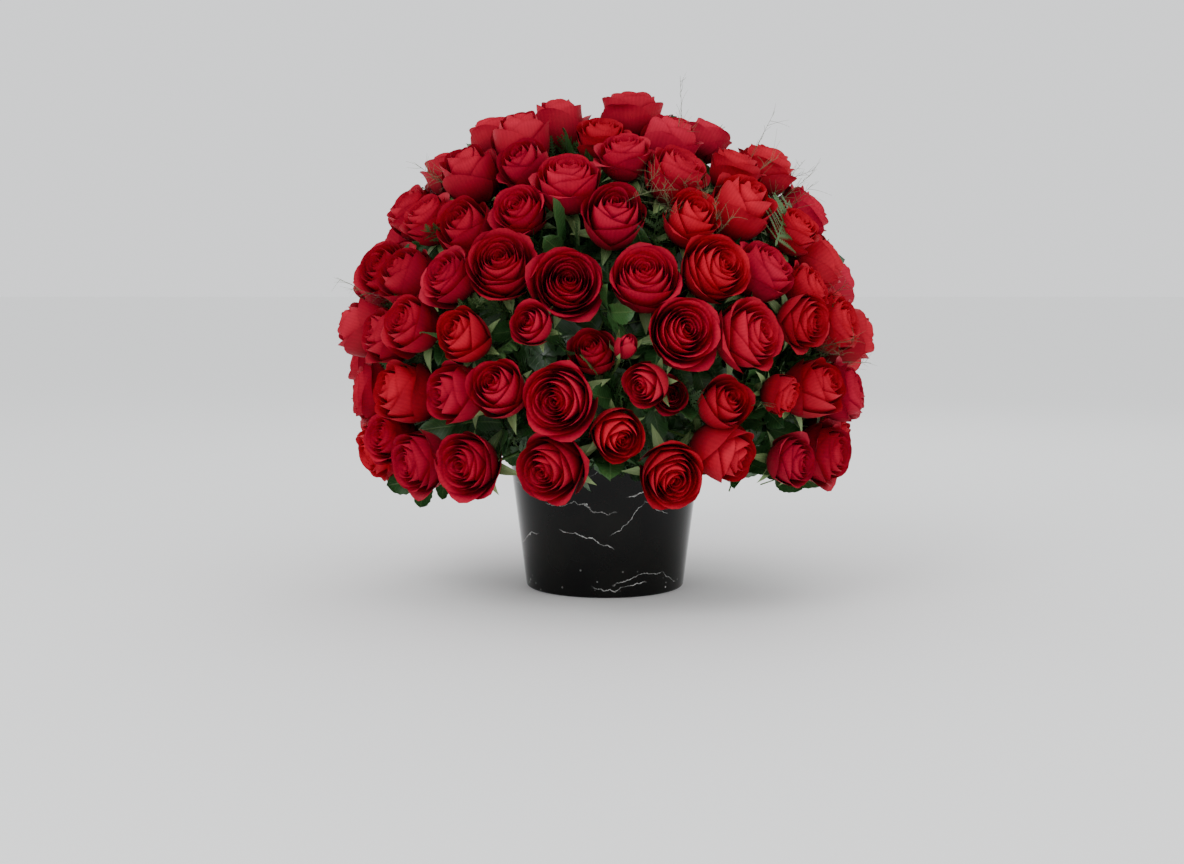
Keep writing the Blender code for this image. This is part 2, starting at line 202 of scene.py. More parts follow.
def leaf_material(name, dark, light, vein, rough):
    """Leaf: two greens in patches, a pale midrib with side veins, and a waxy shine."""
    made, tree, shader = new_material(name)
    across, along = uv_parts(tree, "petal")
    chance = uv_parts(tree, "layer")[1]
    place = object_place(tree)
    patch = calc(tree, "MULTIPLY", noise(tree, place, 30.0, 4.0, 0.6), 0.7)
    patch = calc(tree, "MULTIPLY_ADD", chance, 0.35, patch)
    body = ramp(tree, patch, (0.25, dark), (0.80, light))
    side = calc(tree, "ABSOLUTE", across)
    rib = ramp(tree, side, (0.0, (1, 1, 1)), (0.07, (0, 0, 0)))
    slant = calc(tree, "MULTIPLY_ADD", side, -2.2, calc(tree, "MULTIPLY", along, 9.0))
    lines = calc(tree, "PINGPONG", slant, 0.5)
    lines = ramp(tree, lines, (0.0, (0.5, 0.5, 0.5)), (0.09, (0, 0, 0)))
    lined = calc(tree, "MAXIMUM", rib, lines)
    colour = mix(tree, lined, body, vein)
    tree.links.new(colour, shader.inputs["Base Color"])
    tone = calc(tree, "MULTIPLY_ADD", noise(tree, place, 90.0, 2.0), 0.25, rough)
    tree.links.new(tone, shader.inputs["Roughness"])
    bump(tree, shader, lined, 0.35, 0.0008)
    return made


def fern_material(name, dark, light):
    """Fern needles: green that varies from frond to frond."""
    made, tree, shader = new_material(name)
    chance = uv_parts(tree, "layer")[1]
    place = object_place(tree)
    value = calc(tree, "MULTIPLY", noise(tree, place, 40.0), 0.6)
    value = calc(tree, "MULTIPLY_ADD", chance, 0.45, value)
    tree.links.new(ramp(tree, value, (0.2, dark), (0.85, light)), shader.inputs["Base Color"])
    shader.inputs["Roughness"].default_value = 0.62
    return made


def stem_material():
    """Green stem, paler in streaks."""
    made, tree, shader = new_material("rose_stem")
    place = object_place(tree)
    value = noise(tree, place, 70.0, 3.0)
    colour = ramp(tree, value, (0.3, (0.035, 0.10, 0.02)), (0.8, (0.13, 0.22, 0.06)))
    tree.links.new(colour, shader.inputs["Base Color"])
    shader.inputs["Roughness"].default_value = 0.5
    return made


# veins of the marble: first and last turn about the pot in degrees from the front, height share
# at each end, half width as a share of the height, brightness
VEINS = (
    (12, 78, 0.68, 0.62, 0.0085, 0.75),
    (2, 25, 0.42, 0.61, 0.0060, 0.70),
    (24, 43, 0.61, 0.52, 0.0060, 0.70),
    (-31, 6, 0.46, 0.33, 0.0075, 0.70),
    (-12, 6, 0.76, 0.90, 0.0055, 0.45),
    (-40, 8, 0.62, 0.57, 0.0055, 0.50),
    (4, 43, 0.11, 0.18, 0.0060, 0.70),
    (42, 60, 0.18, 0.09, 0.0055, 0.65),
    (-10, 30, 0.065, 0.095, 0.0070, 0.75),
    (35, 54, 0.69, 0.81, 0.0060, 0.60),
    (76, 118, 0.62, 0.80, 0.0070, 0.60),
    (88, 150, 0.24, 0.36, 0.0070, 0.70),
    (128, 178, 0.72, 0.55, 0.0060, 0.60),
    (-178, -120, 0.50, 0.74, 0.0070, 0.65),
    (-150, -96, 0.34, 0.20, 0.0065, 0.70),
    (-112, -52, 0.84, 0.70, 0.0060, 0.55),
    (-84, -48, 0.30, 0.42, 0.0060, 0.60),
    (150, 179, 0.15, 0.22, 0.0060, 0.60),
)


def clamped(tree, value, low, high, first, last):
    """A value mapped from low..high to first..last and held there."""
    made = tree.nodes.new("ShaderNodeMapRange")
    made.clamp = True
    for key, number in (("From Min", low), ("From Max", high), ("To Min", first), ("To Max", last)):
        made.inputs[key].default_value = number
    tree.links.new(value, made.inputs["Value"])
    return made.outputs[0]


def vein(tree, turn, level, first, last, low, high, width, bright):
    """One vein: a jagged line between two turns about the pot, fading at its ends."""
    course = clamped(tree, turn, first, last, low, high)
    off = calc(tree, "ABSOLUTE", calc(tree, "SUBTRACT", level, course))
    line = clamped(tree, off, 0.10 * width, 0.48 * width, bright * 1.3, 0.0)
    begin = clamped(tree, turn, first, first + 3.0, 0.0, 1.0)
    end = clamped(tree, turn, last - 4.0, last, 1.0, 0.0)
    return calc(tree, "MULTIPLY", line, calc(tree, "MULTIPLY", begin, end))


def marble_material():
    """Polished black marble with sparse thin white veins and a few flecks near the foot."""
    made, tree, shader = new_material("black_marble")
    place = object_place(tree)
    parts = tree.nodes.new("ShaderNodeSeparateXYZ")
    tree.links.new(place, parts.inputs[0])
    x, y, z = parts.outputs
    turn = calc(tree, "ARCTAN2", x, calc(tree, "MULTIPLY", y, -1.0))
    turn = calc(tree, "MULTIPLY", turn, math.degrees(1.0))
    level = calc(tree, "MULTIPLY", z, 1.0 / POT_HIGH[2])
    jag = calc(tree, "SUBTRACT", noise(tree, place, 22.0, 7.0, 0.62), 0.5)
    level = calc(tree, "MULTIPLY_ADD", jag, 0.22, level)
    veins = None
    for values in VEINS:
        one = vein(tree, turn, level, *values)
        veins = one if veins is None else calc(tree, "MAXIMUM", veins, one)
    worn = clamped(tree, noise(tree, place, 130.0, 3.0), 0.35, 0.62, 0.25, 1.0)
    veins = calc(tree, "MULTIPLY", veins, worn)
    fleck = tree.nodes.new("ShaderNodeTexVoronoi")
    fleck.inputs["Scale"].default_value = 125.0
    tree.links.new(place, fleck.inputs["Vector"])
    dots = clamped(tree, fleck.outputs["Distance"], 0.05, 0.15, 0.80, 0.0)
    some = clamped(tree, noise(tree, place, 60.0, 1.0), 0.45, 0.56, 0.0, 1.0)
    foot = clamped(tree, level, 0.05, 0.28, 1.0, 0.0)
    dots = calc(tree, "MULTIPLY", dots, calc(tree, "MULTIPLY", some, foot))
    veins = calc(tree, "MAXIMUM", veins, dots)
    cloud = noise(tree, place, 22.0, 4.0)
    stone = ramp(tree, cloud, (0.3, (0.0022, 0.0022, 0.0024)), (0.8, (0.008, 0.008, 0.0065)))
    tree.links.new(mix(tree, veins, stone, (0.62, 0.62, 0.60)), shader.inputs["Base Color"])
    rough = clamped(tree, noise(tree, place, 35.0, 3.0), 0.3, 0.8, 0.03, 0.07)
    rough = calc(tree, "MULTIPLY_ADD", veins, 0.08, rough)
    tree.links.new(rough, shader.inputs["Roughness"])
    shader.inputs["Specular IOR Level"].default_value = 0.14
    return made


def plastic_material():
    """Dark green moulded plastic of the liner."""
    made, tree, shader = new_material("liner_plastic")
    place = object_place(tree)
    value = noise(tree, place, 60.0)
    colour = ramp(tree, value, (0.3, (0.010, 0.035, 0.018)), (0.8, (0.018, 0.05, 0.028)))
    tree.links.new(colour, shader.inputs["Base Color"])
    tree.links.new(clamped(tree, value, 0.3, 0.8, 0.35, 0.5), shader.inputs["Roughness"])
    return made


def foam_material():
    """Wet floral foam: dark green with fine open cells."""
    made, tree, shader = new_material("floral_foam")
    place = object_place(tree)
    value = noise(tree, place, 700.0, 4.0, 0.7)
    colour = ramp(tree, value, (0.3, (0.006, 0.05, 0.015)), (0.75, (0.03, 0.14, 0.05)))
    tree.links.new(colour, shader.inputs["Base Color"])
    shader.inputs["Roughness"].default_value = 0.95
    bump(tree, shader, value, 0.6, 0.001)
    return made


# ---------------------------------------------------------------- mesh helpers
class Sheets:
    """Collects grids of points with their two UV maps into one mesh."""

    def __init__(self):
        self.points = []
        self.faces = []
        self.petal = []
        self.layer = []
        self.slots = []
        self.count = 0

    def grid(self, points, across, along, layer, chance, slot=0, closed=False):
        """A grid of rows x columns x 3 points as quads."""
        rows, cols = points.shape[:2]
        index = np.arange(rows * cols).reshape(rows, cols) + self.count
        right = np.roll(index, -1, axis=1) if closed else index[:, 1:]
        left = index if closed else index[:, :-1]
        quads = np.stack((left[:-1], right[:-1], right[1:], left[1:]), axis=-1).reshape(-1, 4)
        self.faces.append(quads)
        self.points.append(points.reshape(-1, 3))
        self.petal.append(np.stack((across, along), axis=-1).reshape(-1, 2))
        self.layer.append(np.tile((layer, chance), (rows * cols, 1)))
        self.slots.append(np.full(len(quads), slot))
        self.count += rows * cols

    def mesh(self, name, materials, extra=()):
        """The mesh of everything collected; extra is an optional list of triangles."""
        points = np.concatenate(self.points)
        faces = np.concatenate(self.faces)
        mesh = bpy.data.meshes.new(name)
        mesh.vertices.add(len(points))
        mesh.vertices.foreach_set("co", points.astype(np.float32).ravel())
        sizes = np.full(len(faces), 4)
        flat = faces.ravel()
        slots = np.concatenate(self.slots)
        if len(extra):
            flat = np.concatenate((flat, np.asarray(extra).ravel()))
            sizes = np.concatenate((sizes, np.full(len(extra), 3)))
            slots = np.concatenate((slots, np.zeros(len(extra))))
        mesh.loops.add(len(flat))
        mesh.loops.foreach_set("vertex_index", flat.astype(np.int32))
        mesh.polygons.add(len(sizes))
        starts = np.concatenate(((0,), np.cumsum(sizes)[:-1]))
        mesh.polygons.foreach_set("loop_start", starts.astype(np.int32))
        mesh.polygons.foreach_set("material_index", slots.astype(np.int32))
        mesh.polygons.foreach_set("use_smooth", np.ones(len(sizes), bool))
        for label, values in (("petal", self.petal), ("layer", self.layer)):
            uv = mesh.uv_layers.new(name=label)
            chosen = np.concatenate(values)[flat]
            uv.data.foreach_set("uv", chosen.astype(np.float32).ravel())
        mesh.update(calc_edges=True)
        mesh.validate()
        for material in materials:
            mesh.materials.append(material)
        return mesh


def add_object(name, data):
    """A new object in the scene."""
    made = bpy.data.objects.new(name, data)
    bpy.context.scene.collection.objects.link(made)
    return made


def turned(points, matrix):
    """Points of any grid moved by a 4x4 matrix."""
    matrix = np.array(matrix)
    return points @ matrix[:3, :3].T + matrix[:3, 3]


def looking(origin, along, roll):
    """A frame at origin with +Z along a direction, rolled about it."""
    turn = Vector(along).to_track_quat("Z", "Y").to_matrix().to_4x4()
    return Matrix.Translation(origin) @ turn @ Matrix.Rotation(roll, 4, "Z")


def leafing(origin, along, face):
    """A frame at origin with +Y along a direction and +Z towards a facing."""
    y = Vector(along).normalized()
    z = Vector(face) - y * Vector(face).dot(y)
    if z.length < 1e-4:
        z = y.orthogonal()
    z.normalize()
    x = y.cross(z)
    turn = Matrix((x, y, z)).transposed().to_4x4()
    return Matrix.Translation(origin) @ turn


# ---------------------------------------------------------------- roses
LAYERS = (0.0, 0.15, 0.35, 0.55, 0.72, 0.86, 1.0)
SHAPES = {
    "open": {
        "petals": 27,
        "high": 1.42,
        "tip": (0.05, 0.13, 0.27, 0.43, 0.58, 0.73, 0.88),
        "top": (0.93, 0.98, 1.00, 0.99, 0.96, 0.89, 0.76),
        "belly": (0.13, 0.24, 0.40, 0.56, 0.68, 0.77, 0.82),
        "curl": (0.010, 0.03, 0.045, 0.06, 0.09, 0.13, 0.17),
        "wide": (2.2, 1.80, 1.50, 1.34, 1.30, 1.28, 1.24),
    },
    "half": {
        "petals": 20,
        "high": 1.68,
        "tip": (0.04, 0.10, 0.21, 0.34, 0.48, 0.63, 0.80),
        "top": (0.96, 1.00, 1.02, 1.015, 0.99, 0.95, 0.84),
        "belly": (0.13, 0.26, 0.42, 0.58, 0.71, 0.81, 0.86),
        "curl": (0.005, 0.02, 0.03, 0.045, 0.07, 0.11, 0.16),
        "wide": (2.2, 1.80, 1.50, 1.40, 1.38, 1.36, 1.34),
    },
    "bud": {
        "petals": 10,
        "high": 2.5,
        "tip": (0.04, 0.08, 0.13, 0.20, 0.28, 0.38, 0.55),
        "top": (1.00, 1.00, 0.99, 0.97, 0.95, 0.92, 0.86),
        "belly": (0.30, 0.45, 0.60, 0.74, 0.86, 0.96, 1.02),
        "curl": (0.0, 0.0, 0.01, 0.02, 0.03, 0.06, 0.10),
        "wide": (2.2, 1.9, 1.6, 1.4, 1.25, 1.15, 1.05),
    },
}
GOLDEN = math.radians(137.508)
ACROSS = 11
ALONG = 9
LAYER_KEYS = ("tip", "top", "belly", "curl", "wide")
# one standard deviation of a petal's turn, reach and height
PETAL_SPREAD = (0.10, 0.03, 0.012)
# how lopsided a rose's outer petals are, in reach and in height
LOPSIDED = (0.10, 0.07)
# how much lower a petal's corners are than its middle, and how suddenly: at the heart, and outside
CORNER_DROP = (0.13, 0.24)
CORNER_POWER = (2.4, -1.15)
# where along a petal its lip starts to roll, and how far the roll drops for its reach
LIP_START = 0.72
ROLL_DROP = 0.8


def bezier(s, one, two, three, four):
    """The smooth curve on four control values, at shares s along it."""
    rest = 1 - s
    return one * rest**3 + two * 3 * s * rest**2 + three * 3 * s**2 * rest + four * s**3


def petal_course(s, radius, height, tip, top, belly):
    """Radius and height at shares s along a petal, from the hip to the lip."""
    r = bezier(s, 0.09 * radius, belly * 0.86 * radius, belly * 1.06 * radius, tip * radius)
    z = bezier(s, 0.0, 0.03 * height, 0.60 * height * top, top * height)
    return r, z


def rolled(r, z, u, s, radius, curl, roll):
    """The course of a petal with its lip and its two sides rolled out and down."""
    lip = np.clip((s - LIP_START) / (1 - LIP_START), 0, 1)
    side = np.abs(u) ** 2.5 * s**2
    r = r + radius * curl * lip**2 + radius * roll * side
    z = z - ROLL_DROP * radius * (curl * lip**3 + roll * side)
    return r, z


def wavy(rng, r, z, u, s, radius):
    """The course of a petal with small waves that grow towards its lip."""
    wave = rng.uniform(0.008, 0.024) * radius * s**3
    z = z + wave * np.sin(u * rng.uniform(2.5, 5.0) + rng.uniform(0, math.tau))
    r = r + wave * np.cos(u * rng.uniform(3.0, 6.0) + rng.uniform(0, math.tau))
    return r, z


def add_petals(sheets, rng, radius, shape, matrix):
    """The petals of one rose, from its tight heart to its rolled outer petals."""
    style = SHAPES[shape]
    height = radius * style["high"]
    count = style["petals"] + int(rng.integers(-2, 3))
    u, v = np.meshgrid(np.linspace(-1, 1, ACROSS), np.linspace(0, 1, ALONG) ** 0.85)
    lean = rng.uniform(0, math.tau)
    slack = rng.uniform(0.92, 1.06)
    tone = float(rng.uniform(0.0, 0.7))
    for index in range(count):
        t = index / (count - 1)
        tip, top, belly, curl, wide = [float(np.interp(t, LAYERS, style[key])) for key in LAYER_KEYS]
        outer = max(0.0, 2 * t - 1)
        turn = index * GOLDEN + rng.normal(0, PETAL_SPREAD[0])
        tilt = outer * math.cos(turn - lean)
        tip *= slack * (1 + rng.normal(0, PETAL_SPREAD[1]) + LOPSIDED[0] * tilt)
        top *= 1 + rng.normal(0, PETAL_SPREAD[2]) - LOPSIDED[1] * tilt
        curl *= rng.uniform(0.7, 1.5)
        drop = CORNER_DROP[0] + CORNER_DROP[1] * outer
        s = v * (1 - drop * np.abs(u) ** (CORNER_POWER[0] + CORNER_POWER[1] * outer))
        r, z = petal_course(s, radius, height, tip, top, belly)
        sides = rng.uniform(0.06, 0.20, 2) * outer
        r, z = rolled(r, z, u, s, radius, curl, np.where(u < 0, sides[0], sides[1]))
        # each petal's right edge stands a little further out, so that it laps over the next one
        r = r + radius * (0.05 - 0.02 * t) * u * s
        r, z = wavy(rng, r, z, u, s, radius)
        half = wide * (0.30 + 0.70 * np.sin(np.minimum(s / 0.6, 1.0) * math.pi / 2))
        phi = turn + half * u * (1 + 0.06 * rng.normal())
        points = np.stack((r * np.cos(phi), r * np.sin(phi), z), axis=-1)
        sheets.grid(turned(points, matrix), u, s, t, tone + 0.3 * float(rng.uniform()))


# the hip under the petals: radius and height in bloom radii
HIP = np.array(((0.07, -0.34), (0.11, -0.28), (0.19, -0.16), (0.20, -0.06), (0.12, 0.03)))
HIP_SIDES = 10
HIP_NECK = 0.30
LEAST_HIP = 15 * MM
SEPALS = 5
# how closely the sepals stand up round the petals
SEPAL_HUG = {"open": 0.25, "half": 0.45, "bud": 0.95}


def add_hip(sheets, scale, matrix):
    """The round green hip that the petals and sepals grow from."""
    turn = np.linspace(0, math.tau, HIP_SIDES, endpoint=False)
    r = np.repeat(HIP[:, :1] * scale, HIP_SIDES, axis=1)
    z = np.repeat(HIP[:, 1:] * scale, HIP_SIDES, axis=1)
    points = np.stack((r * np.cos(turn), r * np.sin(turn), z), axis=-1)
    middle = np.full(r.shape, 0.5)
    sheets.grid(turned(points, matrix), middle, middle, 0.5, 0.5, slot=1, closed=True)


def add_calyx(sheets, rng, radius, shape, matrix):
    """The hip under the petals and its five sepals."""
    scale = max(radius, LEAST_HIP)
    add_hip(sheets, scale, matrix)
    u, v = np.meshgrid(np.linspace(-1, 1, 5), np.linspace(0, 1, 8))
    for index in range(SEPALS):
        lift = SEPAL_HUG[shape] * rng.uniform(0.6, 1.3)
        length = scale * rng.uniform(0.85, 1.25)
        outline = np.sin(np.pi * np.clip(v * 0.85 + 0.15, 0, 1)) ** 0.7 * (1 - v) ** 0.4
        width = scale * 0.19 * outline
        if shape == "bud":
            r = 0.16 * scale + radius * 0.98 * np.sin(np.minimum(v * 1.5, 1.0) * math.pi / 2)
            r = r + 0.25 * scale * np.clip(v - 0.75, 0, 1) * rng.uniform(0.5, 2.0)
            z = v * length * 1.35
        else:
            r = 0.17 * scale + v * length * 0.80
            z = -0.05 * scale + length * (lift * v - 0.55 * (1 - lift) * v**2)
        phi = index * math.tau / SEPALS + rng.normal(0, 0.12)
        x = r * math.cos(phi) - u * width * math.sin(phi)
        y = r * math.sin(phi) + u * width * math.cos(phi)
        z = z + np.abs(u) * width * 0.5
        points = turned(np.stack((x, y, z), axis=-1), matrix)
        sheets.grid(points, u, v, 0.5, float(rng.uniform()), slot=1)


def level_faces(mesh):
    """Triangles gathered into patches that lie side by side in one plane."""
    mesh.calc_loop_triangles()
    welded = {}
    spot = [welded.setdefault(tuple(round(x, 6) for x in v.co), len(welded)) for v in mesh.vertices]
    tris = list(mesh.loop_triangles)
    owners = {}
    for index, tri in enumerate(tris):
        corners = [spot[i] for i in tri.vertices]
        for one, two in zip(corners, corners[1:] + corners[:1]):
            owners.setdefault((min(one, two), max(one, two)), []).append(index)
    beside = {}
    for pair in owners.values():
        if len(pair) == 2 and tris[pair[0]].normal.dot(tris[pair[1]].normal) > LEVEL:
            beside.setdefault(pair[0], []).append(pair[1])
            beside.setdefault(pair[1], []).append(pair[0])
    seen = set()
    for index in range(len(tris)):
        if index in seen:
            continue
        seen.add(index)
        patch = [index]
        for here in patch:
            for other in beside.get(here, ()):
                if other not in seen:
                    seen.add(other)
                    patch.append(other)
        yield [tris[i] for i in patch]


def flat_tops(item):
    """The level hearts of a CAD rose: centre, facing and radius of each, in a fixed order."""
    mesh = item.data
    found = []
    for patch in level_faces(mesh):
        if len(patch) < 4:
            continue
        corners = [mesh.vertices[index].co for tri in patch for index in tri.vertices]
        spots = {tuple(round(x, 6) for x in corner): corner for corner in corners}
        centre = sum(spots.values(), Vector()) / len(spots)
        reach = max((spot - centre).length for spot in spots.values())
        if SMALLEST_HEART < reach < LARGEST_HEART:
            found.append((centre, patch[0].normal.copy(), reach))
    found.sort(key=lambda top: tuple(round(x, 5) for x in top[0]))
    return found


def kind_of(reach):
    """Bloom kind and full radius from a heart's radius."""
    return next((kind, radius) for kind, least, radius in KINDS if reach > least)


def stem_foot(item):
    """Inner end of a CAD stem and its direction out of the foam."""
    points = np.array([v.co for v in item.data.vertices])
    gaps = np.linalg.norm(points - np.array(HEART), axis=1)
    first = points[gaps.argmin()]
    near = points[np.linalg.norm(points - first, axis=1) < 6 * MM]
    foot = near.mean(axis=0)
    spans = np.linalg.norm(points - foot, axis=1)
    beyond = points[np.abs(spans - 52 * MM) < 3 * MM]
    if len(beyond):
        way = Vector(beyond.mean(axis=0) - foot).normalized()
    else:
        way = (Vector(foot) - HEART).normalized()
    return Vector(foot), way


def curve_points(start, start_way, end, end_way, count):
    """Points on a smooth bend between two directed ends."""
    pull = (end - start).length / 3.0
    one = start + start_way * pull
    two = end - end_way * pull
    corners = (np.array(point) for point in (start, one, two, end))
    return bezier(np.linspace(0, 1, count)[:, None], *corners)


def add_tube(sheets, path, radii, sides=6, chance=0.5):
    """A round tube along a path."""
    path = np.asarray(path, float)
    tangents = np.gradient(path, axis=0)
    tangents /= np.linalg.norm(tangents, axis=1)[:, None]
    side = np.array(Vector(tangents[0]).orthogonal().normalized())
    turn = np.linspace(0, math.tau, sides, endpoint=False)
    rows = []
    for point, along, radius in zip(path, tangents, radii):
        side = side - along * side.dot(along)
        side /= np.linalg.norm(side)
        across = np.cross(along, side)
        rows.append(point + radius * (np.cos(turn)[:, None] * side + np.sin(turn)[:, None] * across))
    points = np.array(rows)
    flat = np.zeros(points.shape[:2])
    sheets.grid(points, flat + 0.5, flat + 0.5, 0.5, chance, closed=True)


# ---------------------------------------------------------------- leaves and fern
LEAFLET_ROWS = 13
LEAFLET_WIDTH = 0.6
# pairs of leaflets: how far along the stalk, and their size for that of the end leaflet
LEAFLET_PAIRS = ((0.52, 0.86), (0.25, 0.70))
# a frond's side leaves on each side, the reach of the longest for the frond's length, and a needle
PINNAE = 11
PINNA_REACH = 0.42
NEEDLE = 3.2 * MM


def add_leaflet(sheets, rng, matrix, length, width, chance):
    """One toothed leaflet, folded on its midrib and arched."""
    u, v = np.meshgrid((-1.0, -0.55, 0.0, 0.55, 1.0), np.linspace(0, 1, LEAFLET_ROWS))
    outline = v**0.55 * (1 - v) ** 0.62
    outline = outline / outline.max()
    teeth = 1 - 0.10 * (np.arange(LEAFLET_ROWS)[:, None] % 2) * (np.abs(u) > 0.9)
    x = u * outline * teeth * width / 2
    fold = rng.uniform(0.18, 0.45)
    arch = rng.uniform(0.05, 0.28)
    y = v * length
    z = np.abs(x) * fold - arch * length * v**2 + 0.02 * length * np.sin(v * 9 + u * 2)
    sheets.grid(turned(np.stack((x, y, z), axis=-1), matrix), u, v, 0.5, chance)


def add_leaf(sheets, twigs, rng, matrix, length):
    """A rose leaf: a terminal leaflet and pairs along a thin stalk."""
    chance = float(rng.uniform())
    stalk = np.array(((0, 0, 0), (0, length * 0.3, 0.01 * length), (0, length * 0.62, 0)), float)
    add_tube(twigs, turned(stalk, matrix), (0.9 * MM, 0.8 * MM, 0.6 * MM), sides=4)
    size = length * 0.55
    local = Matrix.Translation((0, length * 0.60, 0))
    add_leaflet(sheets, rng, matrix @ local, size, size * 0.62, chance)
    for place, share in LEAFLET_PAIRS:
        for side in (-1, 1):
            turn = Matrix.Rotation(side * -rng.uniform(0.9, 1.2), 4, "Z")
            tilt = Matrix.Rotation(rng.normal(0, 0.25), 4, "Y")
            local = Matrix.Translation((0, length * place, 0)) @ turn @ tilt
            small = size * share
            add_leaflet(sheets, rng, matrix @ local, small, small * LEAFLET_WIDTH, chance)


class Ferns:
    """Collects fern fronds: flat combs of fine needles."""

    def __init__(self):
        self.sheets = Sheets()
        self.triangles = []

    def comb(self, spine, across, width, needle, chance):
        """A pinna: a thin strip along its spine with a needle on each side of every step."""
        count = len(spine) - 1
        across = across / np.linalg.norm(across)
        left = spine - across * width
        right = spine + across * width
        base = self.sheets.count
        grid = np.stack((left, right), axis=1)
        flat = np.zeros((len(spine), 2))
        self.sheets.grid(grid, flat, flat, 0.5, chance)
        step = spine[1:] - spine[:-1]
        taper = np.sin(np.linspace(0.35, 1.0, count) * math.pi)[:, None] * 0.75 + 0.3
        forward = step / np.linalg.norm(step, axis=1)[:, None] * needle * 0.75
        tips = np.concatenate(
            (
                (left[:-1] + left[1:]) / 2 + (-across * needle + forward) * taper,
                (right[:-1] + right[1:]) / 2 + (across * needle + forward) * taper,
            )
        )
        start = self.sheets.count
        self.sheets.points.append(tips)
        self.sheets.petal.append(np.zeros((len(tips), 2)))
        self.sheets.layer.append(np.tile((0.5, chance), (len(tips), 1)))
        self.sheets.count += len(tips)
        for index in range(count):
            low, high = base + 2 * index, base + 2 * (index + 1)
            self.triangles.append((low, high, start + index))
            self.triangles.append((low + 1, start + count + index, high + 1))

    def frond(self, rng, matrix, length):
        """A frond: an arched rib with pinnae on both sides, longest near the foot."""
        chance = float(rng.uniform())
        arch = rng.uniform(0.05, 0.22)
        s = np.linspace(0, 1, 9)
        sway = rng.normal(0, 0.06)
        rib = np.stack((sway * length * s**2, length * s, -arch * length * s**2), axis=-1)
        self.comb(turned(rib, matrix), np.array(matrix)[:3, 0], 0.4 * MM, NEEDLE * 0.5, chance)
        for index in range(PINNAE):
            place = 0.12 + 0.84 * index / PINNAE
            reach = PINNA_REACH * length * (1 - place) ** 0.75 * rng.uniform(0.8, 1.15) + 4 * MM
            for side in (-1, 1):
                spot = place + 0.03 * side * rng.uniform(0, 1)
                foot = np.array((sway * length * spot**2, length * spot, -arch * length * spot**2))
                lean = rng.uniform(0.75, 1.05)
                way = np.array((side * math.sin(lean), math.cos(lean), rng.normal(-0.05, 0.12)))
                steps = max(3, int(reach / (2.6 * MM)))
                q = np.linspace(0, 1, steps + 1)[:, None]
                spine = foot + way * reach * q + np.array((0, 0, -0.12 * reach)) * q**2
                normal = np.array((0.0, rng.normal(0, 0.2), 1.0))
                across = np.cross(way, normal)
                frame3 = np.array(matrix)[:3, :3]
                self.comb(turned(spine, matrix), frame3 @ across, 0.22 * MM, NEEDLE, chance)

    def build(self, name, materials):
        """The finished object."""
        return add_object(name, self.sheets.mesh(name, materials, self.triangles))


# ---------------------------------------------------------------- build
# name of each red, and its colour at the foot, darkened there as painted shade, in the middle, and
# at a thin band near the lip, lightened there as a painted highlight
REDS = (
    ("petal_scarlet", (0.13, 0.0030, 0.009), (0.44, 0.0085, 0.023), (0.54, 0.0120, 0.032)),
    ("petal_crimson", (0.11, 0.0030, 0.009), (0.39, 0.0080, 0.024), (0.48, 0.0115, 0.035)),
    ("petal_ruby", (0.12, 0.0030, 0.010), (0.40, 0.0080, 0.028), (0.50, 0.0115, 0.041)),
)
PETALS = [petal_material(*red) for red in REDS]
SEPAL_GREENS = ((0.07, 0.14, 0.035), (0.24, 0.34, 0.13), (0.30, 0.38, 0.17))
LEAF_GREENS = ((0.009, 0.038, 0.011), (0.038, 0.120, 0.028), (0.09, 0.17, 0.055))
SEPAL = leaf_material("sepal", *SEPAL_GREENS, 0.45)
LEAF = leaf_material("rose_leaf", *LEAF_GREENS, 0.24)
FERN = fern_material("fern_green", (0.010, 0.038, 0.009), (0.055, 0.13, 0.030))
WISP = fern_material("fern_wisp", (0.07, 0.075, 0.03), (0.17, 0.20, 0.09))
STALK = stem_material()

# how much wider each kind may open than its CAD solid, where it has the room
MOST_GROWTH = {"large": 1.12, "medium": 1.16, "small": 1.20, "bud": 1.10}
PRESSED = 1.08
# how far a bloom looks aside, as a share of its facing, for one standard deviation
SWAY = 0.18
# how far out of its CAD place a rose may stand
PROUD = (-8 * MM, 6 * MM)

# half-hidden roses: depth under the dome's skin, least gap in radians, sizes, tries, lowest degree
TUCKED_DEPTH = 34 * MM
TUCKED_GAP = 0.044
TUCKED_SIZES = (15 * MM, 25 * MM)
TUCKED_TRIES = 700
TUCKED_LOWEST = -24

# greens: how many of each, and down to what elevation
LEAVES_BETWEEN = 170
LEAVES_UNDER = 230
FRONDS = 240
GREENS_LOWEST = -29
# depth under the dome's skin for a gap of at least so many radians
LEAF_DEPTHS = ((0.03, 18 * MM), (-0.05, 36 * MM), (-math.pi, 56 * MM))
FERN_DEPTHS = ((0.02, 10 * MM), (-0.06, 30 * MM), (-math.pi, 55 * MM))
UNDER_DEPTHS = (72 * MM, 110 * MM)
# below this slope a frond is kept short, so that none hangs out under the dome
HEM = -0.18
HEM_DEPTH = 48 * MM
OWN_LEAF = 84 * MM
OWN_FROND = 105 * MM


def read_blooms():
    """Every CAD bloom: its node, place, facing, kind and radius."""
    found = []
    for name in sorted(NODES):
        if name.startswith(("rose_", "spray_")):
            for centre, facing, reach in flat_tops(NODES[name]):
                kind, radius = kind_of(reach)
                bloom = {"node": name, "spot": centre, "facing": facing}
                found.append({**bloom, "kind": kind, "size": radius})
    return found


